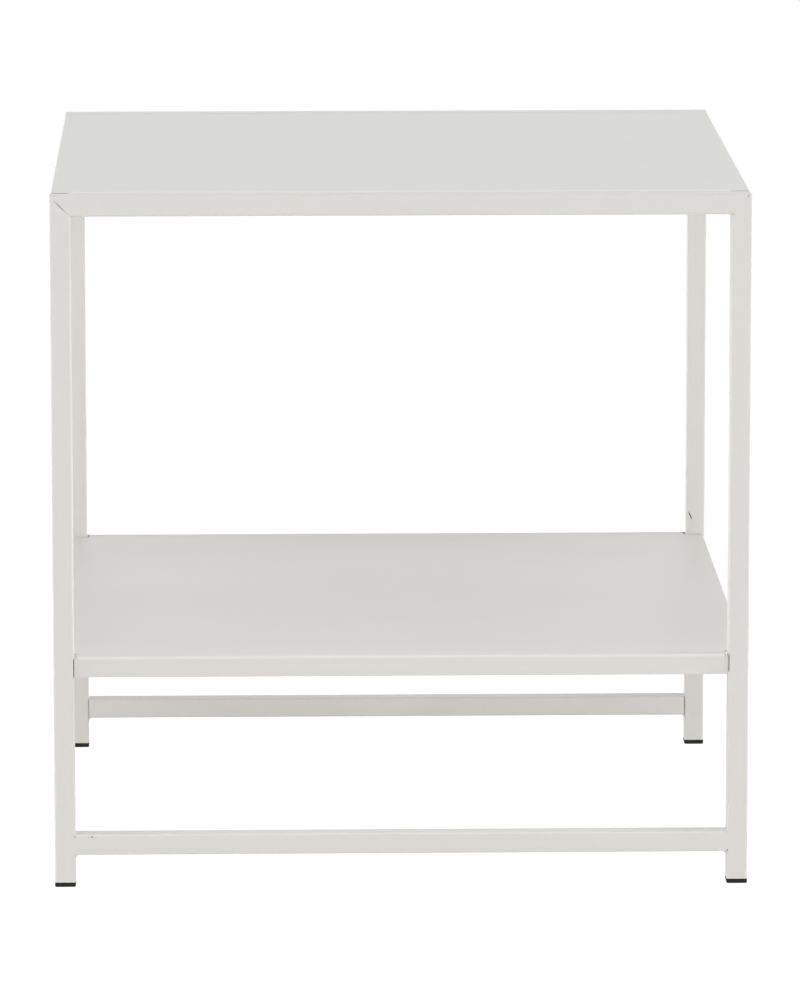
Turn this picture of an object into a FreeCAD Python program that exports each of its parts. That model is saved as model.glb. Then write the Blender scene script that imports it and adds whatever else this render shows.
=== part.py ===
# End table with shelf, in powder-coated steel: two welded frames of square tube, front and
# rear, joined by a folded sheet-metal top and a folded sheet-metal shelf, on four plastic
# feet. Millimetres. +Z is up, +X is to the right, -Y is the front. The origin lies on the
# floor at the centre of the footprint.
import FreeCAD, Part
import math
import os

import Sketcher

# Driving dimensions: alias, millimetres, what it measures.
SIZES = (
    ("table_width", 500.0, "left to right over the legs"),
    ("table_depth", 500.0, "front to rear over the legs"),
    ("frame_height", 500.0, "tube frame, from the feet to the table top"),
    ("tube_side", 15.0, "outside of the square tube"),
    ("tube_wall", 1.2, "wall of the square tube"),
    ("tube_corner", 1.5, "outside corner radius of the tube"),
    ("tube_bore_corner", 0.5, "inside corner radius of the tube"),
    ("stretcher_height", 38.5, "top of the stretchers above the floor"),
    ("weld_leg", 2.5, "leg of the fillet weld at a stretcher's end"),
    ("foot_height", 2.5, "cap of the foot below the tube"),
    ("foot_edge", 0.8, "rounding of the cap's lower edge"),
    ("plug_depth", 16.0, "plug of the foot inside the tube"),
    ("plug_wall", 1.6, "wall of the foot's plug"),
    ("plug_corner", 0.8, "outside corner radius of the plug"),
    ("plug_clearance", 0.1, "between the plug and the tube's bore"),
    ("shelf_height", 168.5, "top of the shelf above the floor"),
    ("sheet_thickness", 1.0, "sheet steel of the top and the shelf"),
    ("bend_radius", 0.5, "inside radius of the folds"),
    ("relief_clearance", 0.2, "of the relief notches beyond the fold"),
    ("relief_slot", 0.5, "width of the slot beside a tongue's return"),
    ("corner_seam", 0.2, "between a return and the end of the lip beside it"),
    ("lip_height", 15.0, "folded lips, over the sheet"),
    ("top_side_inset", 0.4, "top panel's sides inside the legs' outer faces"),
    ("shelf_side_inset", 1.0, "shelf's sides inside the legs' outer faces"),
    ("shelf_setback", 3.5, "shelf's front and rear lips behind the legs' faces"),
    ("lip_overrun", 0.6, "top's long lips beyond the legs' inner faces"),
    ("insert_flange", 0.8, "thickness of the threaded insert's flange"),
    ("insert_flange_radius", 3.8, "flange of the threaded insert"),
    ("insert_radius", 3.0, "barrel of the threaded insert"),
    ("insert_bulge_radius", 3.5, "set collar behind the tube's wall"),
    ("insert_bulge", 2.0, "length of the set collar"),
    ("insert_length", 9.0, "insert below its flange"),
    ("insert_clearance", 0.05, "between the insert and its hole in the tube"),
    ("screw_radius", 2.0, "shank of the screw"),
    ("screw_length", 12.0, "shank below the screw's head"),
    ("thread_clearance", 0.05, "between the shank and the insert's bore"),
    ("screw_hole_clearance", 0.25, "between the shank and its hole in the lip"),
    ("head_radius", 3.8, "button head of the screw"),
    ("head_height", 2.2, "button head of the screw"),
    ("head_dome", 1.4, "rounding of the button head"),
    ("head_clearance", 2.0, "between the head and the fold above it"),
    ("socket_across", 2.5, "hexagon socket, across its flats"),
    ("socket_depth", 1.3, "depth of the hexagon socket"),
    ("top_screw_inset", 40.0, "top panel's screws from the legs' inner faces"),
)

# Places that several pieces share, as expressions on the sheet.
HALF_WIDTH = "(sizes.table_width / 2)"
HALF_DEPTH = "(sizes.table_depth / 2)"
TABLE_HEIGHT = "(sizes.frame_height + sizes.foot_height)"
TUBE_MIDDLE = "(sizes.tube_side / 2)"
TUBE_BORE = "(sizes.tube_side - 2 * sizes.tube_wall)"
LEG_INNER_X = f"({HALF_WIDTH} - sizes.tube_side)"
LEG_INNER_Y = f"({HALF_DEPTH} - sizes.tube_side)"
LEG_CENTRE_X = f"({HALF_WIDTH} - {TUBE_MIDDLE})"
LEG_CENTRE_Y = f"({HALF_DEPTH} - {TUBE_MIDDLE})"
STRETCHER_BOTTOM = "(sizes.stretcher_height - sizes.tube_side)"
OUTER_BEND = "(sizes.sheet_thickness + sizes.bend_radius)"
RELIEF = f"({OUTER_BEND} + sizes.relief_clearance)"
LIP_END_X = f"({LEG_INNER_X} + sizes.lip_overrun)"
PANEL_EDGE_Y = f"({LEG_INNER_Y} - sizes.insert_flange)"
TOP_SIDE_X = f"({HALF_WIDTH} - sizes.top_side_inset)"
SHELF_SIDE_X = f"({HALF_WIDTH} - sizes.shelf_side_inset)"
SHELF_LIP_Y = f"({HALF_DEPTH} - sizes.shelf_setback)"
RETURN_X = f"({LEG_INNER_X} - sizes.insert_flange)"
RETURN_FOLD_X = f"({RETURN_X} - {RELIEF})"
RETURN_LOW_Y = f"({PANEL_EDGE_Y} + sizes.relief_slot)"
LIP_FOLD_Y = f"({SHELF_LIP_Y} - {RELIEF})"
SCREW_DROP = f"({OUTER_BEND} + sizes.head_radius + sizes.head_clearance)"
TOP_SCREW_X = f"({LEG_INNER_X} - sizes.top_screw_inset)"
SHELF_SCREW_Y = f"(({RETURN_LOW_Y} + {SHELF_LIP_Y}) / 2)"

SIDES = (-1, 1)
TOLERANCE = 0.001

doc = FreeCAD.newDocument("end_table")
sheet = doc.addObject("Spreadsheet::Sheet", "sizes")
for row, (alias, amount, meaning) in enumerate(SIZES, start=1):
    sheet.set(f"A{row}", alias.replace("_", " "))
    sheet.set(f"B{row}", str(amount))
    sheet.set(f"C{row}", meaning)
    sheet.setAlias(f"B{row}", alias)
doc.recompute()


# ---- Sketching and features ------------------------------------------------------------


def size(alias):
    """A driving dimension as a number."""
    return float(sheet.get(alias))


def new_body(name):
    return doc.addObject("PartDesign::Body", name)


def new_sketch(body, role):
    """A sketch on one of the body's own origin planes."""
    sketch = body.newObject("Sketcher::SketchObject", f"{body.Name}_sketch")
    plane = next(item for item in body.Origin.OriginFeatures if item.Role == role)
    sketch.AttachmentSupport = [(plane, "")]
    sketch.MapMode = "FlatFace"
    return sketch


def dimension(sketch, kind, geometry, point, place):
    """Hold one coordinate of a point, or a radius, at an expression's value."""
    if kind == "Radius":
        index = sketch.addConstraint(Sketcher.Constraint(kind, geometry, 1.0))
    else:
        index = sketch.addConstraint(Sketcher.Constraint(kind, geometry, point, 1.0))
    sketch.setExpression(f"Constraints[{index}]", place)


def outline(sketch, corners):
    """A closed outline through corners, each a pair of expressions."""
    first = sketch.GeometryCount
    turn = 2 * math.pi / len(corners)
    ring = [
        FreeCAD.Vector(math.cos(turn * step), math.sin(turn * step), 0)
        for step in range(len(corners))
    ]
    for start, end in zip(ring, ring[1:] + ring[:1]):
        sketch.addGeometry(Part.LineSegment(start, end))
    for step, (across, along) in enumerate(corners):
        line = first + step
        following = first + (step + 1) % len(corners)
        sketch.addConstraint(Sketcher.Constraint("Coincident", line, 2, following, 1))
        dimension(sketch, "DistanceX", line, 1, across)
        dimension(sketch, "DistanceY", line, 1, along)


def box_outline(sketch, low_x, high_x, low_y, high_y):
    outline(
        sketch, ((low_x, low_y), (high_x, low_y), (high_x, high_y), (low_x, high_y))
    )


def square(sketch, side):
    box_outline(sketch, f"-{side} / 2", f"{side} / 2", f"-{side} / 2", f"{side} / 2")


def circle(sketch, across, along, radius):
    place = sketch.addGeometry(Part.Circle(FreeCAD.Vector(), FreeCAD.Vector(0, 0, 1), 1))
    dimension(sketch, "DistanceX", place, 3, across)
    dimension(sketch, "DistanceY", place, 3, along)
    dimension(sketch, "Radius", place, 0, radius)


def pad(body, sketch, length, downwards=False, both_ways=False):
    feature = body.newObject("PartDesign::Pad", f"{body.Name}_pad")
    feature.Profile = sketch
    feature.Reversed = downwards
    if both_ways:
        feature.SideType = "Symmetric"
    feature.setExpression("Length", length)
    doc.recompute()
    return feature


def pocket_through(body, sketch):
    """Cut the sketch through the whole body, both ways from its plane."""
    before = body.Shape.Volume
    feature = body.newObject("PartDesign::Pocket", f"{body.Name}_cut")
    feature.Profile = sketch
    feature.Type = "ThroughAll"
    feature.SideType = "Symmetric"
    doc.recompute()
    check_cut(body, before)
    return feature


def pocket_one_way(body, sketch, depth, reversed_way):
    """Cut the sketch to a depth on one side of its plane."""
    before = body.Shape.Volume
    feature = body.newObject("PartDesign::Pocket", f"{body.Name}_cut")
    feature.Profile = sketch
    feature.Reversed = reversed_way
    feature.setExpression("Length", depth)
    doc.recompute()
    check_cut(body, before)
    return feature


def check_cut(body, before):
    if body.Shape.Volume > before - TOLERANCE:
        raise RuntimeError(f"{body.Label}: a cut removed nothing")


def round_edges(body, radius, chosen):
    """Fillet the edges of the body's last feature that a test chooses."""
    base = body.Tip
    names = [
        f"Edge{number}"
        for number, edge in enumerate(base.Shape.Edges, start=1)
        if chosen(edge)
    ]
    feature = body.newObject("PartDesign::Fillet", f"{body.Name}_rounding")
    feature.Base = (base, names)
    feature.setExpression("Radius", radius)
    doc.recompute()
    return feature


def runs_along(edge, axis):
    start, end = edge.firstVertex().Point, edge.lastVertex().Point
    return abs(abs((end - start).normalize().dot(axis)) - 1) < TOLERANCE


def upright(edge):
    return runs_along(edge, FreeCAD.Vector(0, 0, 1))


def place(item, x, y, z, rotation=None):
    """Put an object in the table, its position bound to the sheet."""
    if rotation:
        item.Placement = FreeCAD.Placement(FreeCAD.Vector(), rotation)
    for axis, expression in zip("xyz", (x, y, z)):
        item.setExpression(f"Placement.Base.{axis}", expression)


def signed(side, expression):
    return expression if side > 0 else f"-({expression})"


def turned(axis, degrees):
    return FreeCAD.Rotation(FreeCAD.Vector(*axis), degrees)


# Turns that lay a piece in the frame.
AS_DRAWN = turned((0, 0, 1), 0)
HALF_TURN_ABOUT_X = turned((1, 0, 0), 180)
HALF_TURN_ABOUT_Y = turned((0, 1, 0), 180)
HALF_TURN_ABOUT_Z = turned((0, 0, 1), 180)
ALONG_WIDTH = turned((0, 1, 0), 90)


def group(name, pieces):
    """Separate solids of one kind that share a node."""
    node = doc.addObject("Part::Compound", name)
    node.Links = pieces
    return node


def copy_of(pattern, name, x, y, z, rotation):
    item = doc.addObject("App::Link", name)
    item.LinkedObject = pattern
    place(item, x, y, z, rotation)
    return item


# ---- Tube frames -----------------------------------------------------------------------


def square_tube(name, length):
    """A square tube up its own Z from the origin, centred on it."""
    body = new_body(name)
    section = new_sketch(body, "XY_Plane")
    square(section, "sizes.tube_side")
    square(section, TUBE_BORE)
    pad(body, section, length)
    bore_half = size("tube_side") / 2 - size("tube_wall")

    def outside(edge):
        return upright(edge) and abs(edge.firstVertex().X) > bore_half + TOLERANCE

    def inside(edge):
        return upright(edge) and abs(
            abs(edge.firstVertex().X) - bore_half
        ) < TOLERANCE and abs(abs(edge.firstVertex().Y) - bore_half) < TOLERANCE

    round_edges(body, "sizes.tube_corner", outside)
    round_edges(body, "sizes.tube_bore_corner", inside)
    return body


def mitre(body, end, away):
    """Cut an end of a tube at 45 degrees, so that its +X face is the short one."""
    over = "(sizes.tube_side * 3 / 2)"
    beyond = f"{end} + {away} * sizes.tube_side"
    back = f"{end} - {away} * 2 * sizes.tube_side"
    wedge = new_sketch(body, "XZ_Plane")
    outline(wedge, ((f"-{over}", beyond), (over, beyond), (over, back)))
    pocket_through(body, wedge)


def insert_hole(body, middle_plane, across, along, reversed_way):
    """A threaded insert's hole, from a middle plane of the tube through one wall."""
    drilling = new_sketch(body, middle_plane)
    circle(drilling, across, along, "sizes.insert_radius + sizes.insert_clearance")
    pocket_one_way(body, drilling, TUBE_MIDDLE, reversed_way)


def leg(name, left_or_right, front_or_rear):
    """A leg stands on its foot; its own +X side faces the opposite leg."""
    body = square_tube(name, "sizes.frame_height")
    mitre(body, "sizes.frame_height", 1)
    across = signed(left_or_right * front_or_rear, f"{LEG_CENTRE_Y} - {SHELF_SCREW_Y}")
    hole_height = f"sizes.shelf_height - {SCREW_DROP} - sizes.foot_height"
    insert_hole(body, "YZ_Plane", across, hole_height, reversed_way=True)
    rotation = AS_DRAWN if left_or_right < 0 else HALF_TURN_ABOUT_Z
    x = signed(left_or_right, LEG_CENTRE_X)
    y = signed(front_or_rear, LEG_CENTRE_Y)
    place(body, x, y, "sizes.foot_height", rotation)
    return body


def top_rail(name, front_or_rear):
    """A top rail lies on its side: its own +X side faces down."""
    body = square_tube(name, "sizes.table_width")
    mitre(body, "0", -1)
    mitre(body, "sizes.table_width", 1)
    across = f"{SCREW_DROP} - {TUBE_MIDDLE}"
    for side in SIDES:
        along = f"{HALF_WIDTH} + {signed(side, TOP_SCREW_X)}"
        insert_hole(body, "XZ_Plane", across, along, reversed_way=front_or_rear > 0)
    y = signed(front_or_rear, LEG_CENTRE_Y)
    place(body, f"-{HALF_WIDTH}", y, f"{TABLE_HEIGHT} - {TUBE_MIDDLE}", ALONG_WIDTH)
    return body


def stretcher(name, front_or_rear):
    """A stretcher is cut square and butted between the legs."""
    body = square_tube(name, f"2 * {LEG_INNER_X}")
    y = signed(front_or_rear, LEG_CENTRE_Y)
    z = f"{STRETCHER_BOTTOM} + {TUBE_MIDDLE}"
    place(body, f"-{LEG_INNER_X}", y, z, ALONG_WIDTH)
    return body


def weld_pattern():
    """A fillet weld along Y in the corner between a leg (X = 0) and a stretcher (Z = 0)."""
    body = new_body("weld_pattern")
    section = new_sketch(body, "XZ_Plane")
    outline(section, (("0", "0"), ("sizes.weld_leg", "0"), ("0", "sizes.weld_leg")))
    pad(body, section, "sizes.tube_side - 2 * sizes.tube_corner", both_ways=True)
    return body


def frame_welds(name, front_or_rear, pattern):
    """Fillet welds over and under both ends of a stretcher."""
    turns = {
        (-1, 1): AS_DRAWN,
        (-1, -1): HALF_TURN_ABOUT_X,
        (1, 1): HALF_TURN_ABOUT_Z,
        (1, -1): HALF_TURN_ABOUT_Y,
    }
    beads = []
    for (side, over_or_under), rotation in turns.items():
        z = "sizes.stretcher_height" if over_or_under > 0 else STRETCHER_BOTTOM
        x = signed(side, LEG_INNER_X)
        y = signed(front_or_rear, LEG_CENTRE_Y)
        beads.append(copy_of(pattern, f"{name}_bead", x, y, z, rotation))
    return group(name, beads)


# ---- Feet ------------------------------------------------------------------------------


def foot(name, left_or_right, front_or_rear):
    """A cap under the tube with a hollow plug pressed up into its bore."""
    body = new_body(name)
    cap = new_sketch(body, "XY_Plane")
    square(cap, "sizes.tube_side")
    pad(body, cap, "sizes.foot_height")
    round_edges(body, "sizes.tube_corner", upright)
    round_edges(body, "sizes.foot_edge", lambda edge: edge.BoundBox.ZMax < TOLERANCE)
    plug_side = f"({TUBE_BORE} - 2 * sizes.plug_clearance)"
    plug = new_sketch(body, "XY_Plane")
    square(plug, plug_side)
    square(plug, f"({plug_side} - 2 * sizes.plug_wall)")
    pad(body, plug, "sizes.foot_height + sizes.plug_depth")
    plug_half = size("tube_side") / 2 - size("tube_wall") - size("plug_clearance")

    def plug_corner(edge):
        return upright(edge) and abs(abs(edge.firstVertex().X) - plug_half) < TOLERANCE

    round_edges(body, "sizes.plug_corner", plug_corner)
    x = signed(left_or_right, LEG_CENTRE_X)
    y = signed(front_or_rear, LEG_CENTRE_Y)
    place(body, x, y, "0")
    return body


# ---- Folded sheet ----------------------------------------------------------------------


def all_quarters(corners):
    """Mirror the corners of one quarter, given anticlockwise, to the other three."""

    def mirrored(side_x, side_y):
        return [(signed(side_x, x), signed(side_y, y)) for x, y in corners]

    return (
        mirrored(1, 1)
        + mirrored(-1, 1)[::-1]
        + mirrored(-1, -1)
        + mirrored(1, -1)[::-1]
    )


def lip_strip(sketch, side_x, x_from, x_to, side_y, y_from, y_to):
    """The plan of a folded lip, in the quarter that the two sides give."""
    xs = signed(side_x, x_from), signed(side_x, x_to)
    ys = signed(side_y, y_from), signed(side_y, y_to)
    box_outline(sketch, *(xs if side_x > 0 else xs[::-1]), *(ys if side_y > 0 else ys[::-1]))


def inwards(face):
    """The inner face of a lip whose outer face is given."""
    return f"({face} - sizes.sheet_thickness)"


def long_lips(sketch, side_x, lips_y, side_from_y, end_x):
    """Plans of the two side lips and of the front and rear lips."""
    for side in SIDES:
        lip_strip(sketch, side, inwards(side_x), side_x, 1, f"-{side_from_y}", side_from_y)
        lip_strip(sketch, 1, f"-{end_x}", end_x, side, inwards(lips_y), lips_y)


def fold(body):
    """Round every fold, outside and inside: where the sheet meets a whole lip's face."""
    thickness = size("sheet_thickness")
    lip = size("lip_height")

    def is_fold(edge, height, depth):
        if edge.BoundBox.ZLength > TOLERANCE or abs(edge.BoundBox.ZMax - height) > TOLERANCE:
            return False
        if edge.Length < 2 * thickness:
            return False
        faces = body.Tip.Shape.ancestorsOfType(edge, Part.Face)
        return any(abs(face.Area - edge.Length * depth) < TOLERANCE for face in faces)

    round_edges(body, OUTER_BEND, lambda edge: is_fold(edge, 0, lip))
    round_edges(
        body, "sizes.bend_radius", lambda edge: is_fold(edge, -thickness, lip - thickness)
    )


def folded_panel(
    name, corners, draw_lips, screw_plane, screw_across, surface_height, draw_ends=None
):
    """A sheet-metal tray, open below; its own Z = 0 is the upper surface."""
    body = new_body(name)
    blank = new_sketch(body, "XY_Plane")
    outline(blank, all_quarters(corners))
    pad(body, blank, "sizes.sheet_thickness", downwards=True)
    lips = new_sketch(body, "XY_Plane")
    draw_lips(lips)
    pad(body, lips, "sizes.lip_height", downwards=True)
    fold(body)
    if draw_ends:
        lip_ends = new_sketch(body, "XY_Plane")
        draw_ends(lip_ends)
        lip_ends.setExpression("AttachmentOffset.Base.z", f"-{RELIEF}")
        pad(body, lip_ends, f"sizes.lip_height - {RELIEF}", downwards=True)
    screw_holes = new_sketch(body, screw_plane)
    radius = "sizes.screw_radius + sizes.screw_hole_clearance"
    for side in SIDES:
        circle(screw_holes, signed(side, screw_across), f"-{SCREW_DROP}", radius)
    pocket_through(body, screw_holes)
    place(body, "0", "0", surface_height)
    return body


def top_panel():
    """The top lies between the rails; its long lips end just behind the legs."""
    corners = (
        (TOP_SIDE_X, PANEL_EDGE_Y),
        (f"{LIP_END_X} + {RELIEF}", PANEL_EDGE_Y),
        (f"{LIP_END_X} + {RELIEF}", f"{PANEL_EDGE_Y} - {RELIEF}"),
        (LIP_END_X, f"{PANEL_EDGE_Y} - {RELIEF}"),
        (LIP_END_X, PANEL_EDGE_Y),
    )

    def draw_lips(sketch):
        long_lips(sketch, TOP_SIDE_X, PANEL_EDGE_Y, PANEL_EDGE_Y, LIP_END_X)

    return folded_panel(
        "top_panel", corners, draw_lips, "XZ_Plane", TOP_SCREW_X, TABLE_HEIGHT
    )


def shelf_panel():
    """The shelf is notched round the legs, with a tongue between each pair of them.

    Each side of a tongue is folded down beside its leg. At the tongue's outer corners the
    folds stop at a square notch, and below it the return and the lip meet in a seam.
    """
    corners = (
        (SHELF_SIDE_X, PANEL_EDGE_Y),
        (RETURN_FOLD_X, PANEL_EDGE_Y),
        (RETURN_FOLD_X, RETURN_LOW_Y),
        (RETURN_X, RETURN_LOW_Y),
        (RETURN_X, LIP_FOLD_Y),
        (RETURN_FOLD_X, LIP_FOLD_Y),
        (RETURN_FOLD_X, SHELF_LIP_Y),
    )

    def in_each_quarter(sketch, *strips):
        for side_x in SIDES:
            for side_y in SIDES:
                for x_from, x_to, y_from, y_to in strips:
                    lip_strip(sketch, side_x, x_from, x_to, side_y, y_from, y_to)

    def draw_lips(sketch):
        long_lips(sketch, SHELF_SIDE_X, SHELF_LIP_Y, PANEL_EDGE_Y, RETURN_FOLD_X)
        tongue_return = (inwards(RETURN_X), RETURN_X, RETURN_LOW_Y, LIP_FOLD_Y)
        in_each_quarter(sketch, tongue_return)

    def draw_ends(sketch):
        seam_x = f"({inwards(RETURN_X)} - sizes.corner_seam)"
        return_end = (inwards(RETURN_X), RETURN_X, LIP_FOLD_Y, SHELF_LIP_Y)
        lip_end = (RETURN_FOLD_X, seam_x, inwards(SHELF_LIP_Y), SHELF_LIP_Y)
        in_each_quarter(sketch, return_end, lip_end)

    return folded_panel(
        "shelf_panel",
        corners,
        draw_lips,
        "YZ_Plane",
        SHELF_SCREW_Y,
        "sizes.shelf_height",
        draw_ends,
    )


# ---- Fasteners -------------------------------------------------------------------------


def revolved(body, profile):
    """Turn a profile of (radius, height) corners about the body's Z axis."""
    section = new_sketch(body, "XZ_Plane")
    outline(section, profile)
    feature = body.newObject("PartDesign::Revolution", f"{body.Name}_turning")
    feature.Profile = section
    feature.ReferenceAxis = (section, ["V_Axis"])
    feature.Angle = 360
    doc.recompute()
    return feature


def insert_pattern():
    """A set rivet nut: Z = 0 is the tube's face, its flange stands outside on +Z."""
    body = new_body("insert_pattern")
    bore = "(sizes.screw_radius + sizes.thread_clearance)"
    flange_radius = "sizes.insert_flange_radius"
    barrel = "sizes.insert_radius"
    collar = "sizes.insert_bulge_radius"
    wall_inside = "-sizes.tube_wall"
    collar_end = "-sizes.tube_wall - sizes.insert_bulge"
    profile = (
        (bore, "sizes.insert_flange"),
        (bore, "-sizes.insert_length"),
        (barrel, "-sizes.insert_length"),
        (barrel, collar_end),
        (collar, collar_end),
        (collar, wall_inside),
        (barrel, wall_inside),
        (barrel, "0"),
        (flange_radius, "0"),
        (flange_radius, "sizes.insert_flange"),
    )
    revolved(body, profile)
    return body


def screw_pattern():
    """A button-head screw: Z = 0 is the tube's face, the lip lies under its head."""
    body = new_body("screw_pattern")
    seat = "(sizes.insert_flange + sizes.sheet_thickness)"
    head_top = f"({seat} + sizes.head_height)"
    shank_end = f"({seat} - sizes.screw_length)"
    profile = (
        ("0", shank_end),
        ("sizes.screw_radius", shank_end),
        ("sizes.screw_radius", seat),
        ("sizes.head_radius", seat),
        ("sizes.head_radius", head_top),
        ("0", head_top),
    )
    revolved(body, profile)
    top = size("insert_flange") + size("sheet_thickness") + size("head_height")
    round_edges(
        body, "sizes.head_dome", lambda edge: abs(edge.BoundBox.ZMin - top) < TOLERANCE
    )
    socket = new_sketch(body, "XY_Plane")
    flat = "(sizes.socket_across / 2)"
    corner = f"({flat} * 2 / sqrt(3))"
    half_flat = f"({corner} / 2)"
    outline(
        socket,
        (
            (corner, "0"),
            (half_flat, flat),
            (f"-{half_flat}", flat),
            (f"-{corner}", "0"),
            (f"-{half_flat}", f"-{flat}"),
            (half_flat, f"-{flat}"),
        ),
    )
    socket.setExpression("AttachmentOffset.Base.z", head_top)
    pocket_one_way(body, socket, "sizes.socket_depth", reversed_way=False)
    return body


def facing_along_depth(side, front_or_rear):
    """Turns a fastener's own +Z from a front or rear rail towards the table's middle."""
    return turned((1, 0, 0), 90 * front_or_rear)


def facing_along_width(side, front_or_rear):
    """Turns a fastener's own +Z from a left or right leg towards the table's middle."""
    return turned((0, 1, 0), -90 * side)


def fasteners(name, pattern, x, y, z, facing):
    """One fastener at each side of the front and of the rear frame."""
    copies = [
        copy_of(
            pattern,
            f"{name}_copy",
            signed(side, x),
            signed(front_or_rear, y),
            z,
            facing(side, front_or_rear),
        )
        for front_or_rear in SIDES
        for side in SIDES
    ]
    return group(name, copies)


# ---- The table -------------------------------------------------------------------------

weld = weld_pattern()
rivet_nut = insert_pattern()
screw = screw_pattern()

subparts = []
for depth_word, front_or_rear in (("front", -1), ("rear", 1)):
    for side_word, left_or_right in (("left", -1), ("right", 1)):
        subparts.append(leg(f"{depth_word}_{side_word}_leg", left_or_right, front_or_rear))
        subparts.append(foot(f"{depth_word}_{side_word}_foot", left_or_right, front_or_rear))
    subparts.append(top_rail(f"{depth_word}_top_rail", front_or_rear))
    subparts.append(stretcher(f"{depth_word}_stretcher", front_or_rear))
    subparts.append(frame_welds(f"{depth_word}_frame_welds", front_or_rear, weld))
subparts.append(top_panel())
subparts.append(shelf_panel())

top_places = (TOP_SCREW_X, LEG_INNER_Y, f"{TABLE_HEIGHT} - {SCREW_DROP}")
shelf_places = (LEG_INNER_X, SHELF_SCREW_Y, f"sizes.shelf_height - {SCREW_DROP}")
for word, places, facing in (
    ("top", top_places, facing_along_depth),
    ("shelf", shelf_places, facing_along_width),
):
    subparts.append(fasteners(f"{word}_rivet_nuts", rivet_nut, *places, facing))
    subparts.append(fasteners(f"{word}_screws", screw, *places, facing))
doc.recompute()

for item in doc.Objects:
    if "Invalid" in item.State or "Error" in item.State:
        raise RuntimeError(f"{item.Label} failed: {item.State}")
for subpart in subparts:
    if subpart.Shape.isNull() or not subpart.Shape.isValid():
        raise RuntimeError(f"{subpart.Label} has no valid shape")

os.makedirs("parts", exist_ok=True)
for subpart in subparts:
    subpart.Shape.exportStep(f"parts/{subpart.Label}.step")
    box = subpart.Shape.BoundBox
    print(
        f"{subpart.Label:20s} {len(subpart.Shape.Solids)} solid(s)"
        f" {subpart.Shape.Volume / 1000:9.3f} cm3"
        f"  {box.XLength:7.2f} x {box.YLength:7.2f} x {box.ZLength:7.2f} mm"
    )
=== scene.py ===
# %% [markdown]
# # An end table in powder-coated steel
# This lesson dresses a square end table: two welded frames of square tube, a folded sheet
# top, a low folded sheet shelf and four black plastic feet. Its sizes were settled in a CAD
# model, so Blender takes every place from there and adds what the eye wants: rounded tube
# corners, weld ripples, softened sheet edges, the skin of the coating and plain studio light.

import math
from contextlib import contextmanager
from functools import partial

import bmesh
import bpy
from mathutils import Euler, Matrix, Vector


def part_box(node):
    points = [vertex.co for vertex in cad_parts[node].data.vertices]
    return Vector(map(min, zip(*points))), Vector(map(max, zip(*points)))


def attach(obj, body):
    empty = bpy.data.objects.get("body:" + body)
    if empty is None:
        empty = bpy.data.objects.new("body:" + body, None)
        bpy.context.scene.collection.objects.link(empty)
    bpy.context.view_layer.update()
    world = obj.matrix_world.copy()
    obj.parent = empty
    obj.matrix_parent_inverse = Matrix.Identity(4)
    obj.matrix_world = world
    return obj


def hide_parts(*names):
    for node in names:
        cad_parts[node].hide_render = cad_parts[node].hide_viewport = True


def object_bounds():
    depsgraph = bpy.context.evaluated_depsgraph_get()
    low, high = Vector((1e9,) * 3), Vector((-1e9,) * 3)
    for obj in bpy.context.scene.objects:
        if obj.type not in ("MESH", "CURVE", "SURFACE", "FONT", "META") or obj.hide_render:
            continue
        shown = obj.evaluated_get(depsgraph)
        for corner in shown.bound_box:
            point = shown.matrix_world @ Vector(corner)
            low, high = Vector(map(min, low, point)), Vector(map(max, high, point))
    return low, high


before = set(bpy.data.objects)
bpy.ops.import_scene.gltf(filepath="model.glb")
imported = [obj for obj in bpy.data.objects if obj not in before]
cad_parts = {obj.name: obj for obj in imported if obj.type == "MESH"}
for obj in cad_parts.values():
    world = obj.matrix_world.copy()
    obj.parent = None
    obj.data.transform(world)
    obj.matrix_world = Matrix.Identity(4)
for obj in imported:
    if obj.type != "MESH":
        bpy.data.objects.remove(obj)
cad_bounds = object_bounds()
print(f"{len(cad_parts)} measured pieces stand {cad_bounds[1].z:.4f} m high")

# %% [markdown]
# Everything is in metres, so small sizes are written as so many MM. The pieces' names give
# their boxes, and the boxes give the sizes that several pieces share.

# %% Sizes read from the frame
MM = 0.001
LEFT, RIGHT = -1, 1
FRONT, REAR = -1, 1
SIDES = (-1, 1)
UP, DOWN = Vector((0, 0, 1)), Vector((0, 0, -1))
TO_RIGHT = Vector((1, 0, 0))

leg_low, leg_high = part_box("front_left_leg")
TUBE_SIDE = leg_high.x - leg_low.x
shelf_low, shelf_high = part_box("shelf_panel")
print(f"tube {TUBE_SIDE / MM:.1f} mm, shelf {shelf_high.z / MM:.1f} mm above the floor")

# %% [markdown]
# ## The camera
# A catalogue camera stands far back with a long lens, which keeps the legs nearly parallel,
# and a little above the table, which shows the top and the shelf as thin bands. The angles
# below turn it slightly to the right and tilt it down by ten degrees. A camera in Blender
# looks along its own -Z, so it starts a quarter turn away from looking at the horizon. The
# helper that puts it into the scene serves the later cells too.

# %% A long lens, far back
CAMERA_PLACE = Vector((-0.1177, -5.254, 1.166))
CAMERA_TURN = math.radians(-1.337)
CAMERA_TILT = math.radians(90 - 10.01)
CAMERA_ROLL = math.radians(-0.032)
CAMERA_LENS = 255.8
CAMERA_REACH = 200.0


def placed(name, data):
    """A new object in the scene."""
    made = bpy.data.objects.new(name, data)
    bpy.context.scene.collection.objects.link(made)
    return made


camera = placed("camera", bpy.data.cameras.new("camera"))
camera.data.lens = CAMERA_LENS
camera.data.clip_end = CAMERA_REACH
aim = Matrix.Rotation(CAMERA_TURN, 4, "Z") @ Matrix.Rotation(CAMERA_TILT, 4, "X")
roll = Matrix.Rotation(CAMERA_ROLL, 4, "Z")
camera.matrix_world = Matrix.Translation(CAMERA_PLACE) @ aim @ roll
bpy.context.scene.camera = camera
print(f"camera {CAMERA_PLACE.length:.2f} m away with a {CAMERA_LENS:.0f} mm lens")

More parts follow.
